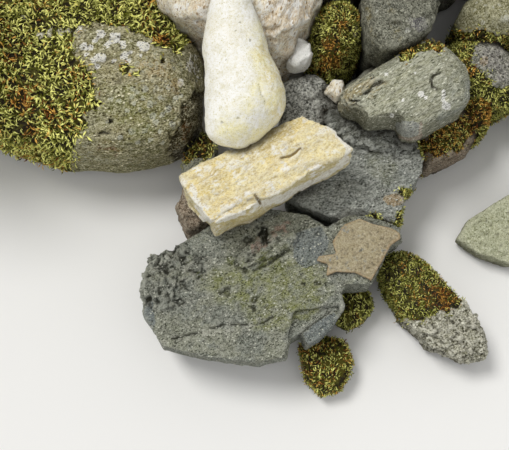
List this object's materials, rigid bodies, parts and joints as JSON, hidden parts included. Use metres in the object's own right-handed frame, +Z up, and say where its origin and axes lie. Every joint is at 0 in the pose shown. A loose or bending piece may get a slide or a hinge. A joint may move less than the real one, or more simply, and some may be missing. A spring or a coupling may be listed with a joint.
{
  "type": "tumbled dry stone wall section",
  "caption": "Low tumbled section of dry stone wall: boulders, slabs and rubble laid without mortar, open at the front.",
  "frame": {"origin": "middle of the footprint, on the ground", "axes": "+X along the wall, -Y towards its open front, +Z up"},
  "size_m": [1.1346, 0.8472, 0.4735],
  "materials": {
    "blue_grey_stone": "rough weathered",
    "cream_stone": "rough weathered",
    "dark_grey_stone": "rough weathered",
    "dark_slab_stone": "rough weathered",
    "foliated_grey_stone": "rough weathered",
    "moss_grown_stone": "rough weathered",
    "mossy_olive_stone": "rough weathered",
    "pale_yellow_stone": "rough weathered",
    "pinkish_brown_stone": "rough weathered",
    "speckled_grey_stone": "rough weathered",
    "tan_crust_stone": "rough weathered",
    "walling_stone": "rough weathered",
    "white_stone": "rough weathered",
    "yellow_stone": "rough weathered"
  },
  "bodies": {
    "root": {"back_footing_1": "walling_stone", "back_footing_2": "walling_stone", "back_footing_3": "walling_stone", "back_footing_4": "walling_stone", "back_second_1": "walling_stone", "back_second_2": "walling_stone", "back_second_3": "walling_stone", "back_second_4": "walling_stone", "back_third_1": "walling_stone", "back_third_2": "walling_stone", "back_third_3": "walling_stone", "back_top_1": "walling_stone", "back_top_2": "walling_stone", "boulder_bearer": "blue_grey_stone", "brown_moss_stone": "moss_grown_stone", "dark_angular_stone": "dark_grey_stone", "dark_slab": "dark_slab_stone", "grey_ledge": "blue_grey_stone", "grey_wedge": "blue_grey_stone", "hearting_first": "blue_grey_stone", "hearting_second": "blue_grey_stone", "lawn_stone": "speckled_grey_stone", "left_end_footing": "walling_stone", "left_front_second": "walling_stone", "left_front_third": "walling_stone", "long_boulder": "foliated_grey_stone", "moss_cushion_stone": "moss_grown_stone", "mossy_bearer_front": "moss_grown_stone", "mossy_bearer_side": "moss_grown_stone", "mossy_boulder": "mossy_olive_stone", "mossy_grey_stone": "mossy_olive_stone", "mossy_round_stone": "moss_grown_stone", "pale_club_stone": "cream_stone", "pale_corner_stone": "pale_yellow_stone", "pink_boulder": "pinkish_brown_stone", "pinkish_prop": "pinkish_brown_stone", "pinning_chips": "pinkish_brown_stone", "pointed_mossy_stone": "speckled_grey_stone", "right_end_footing": "walling_stone", "right_front_second": "walling_stone", "shadow_stone": "blue_grey_stone", "slab_bearers": "dark_grey_stone", "small_white_stone": "white_stone", "tan_crust": "tan_crust_stone", "yellow_block": "yellow_stone"}
  },
  "joints": []
}
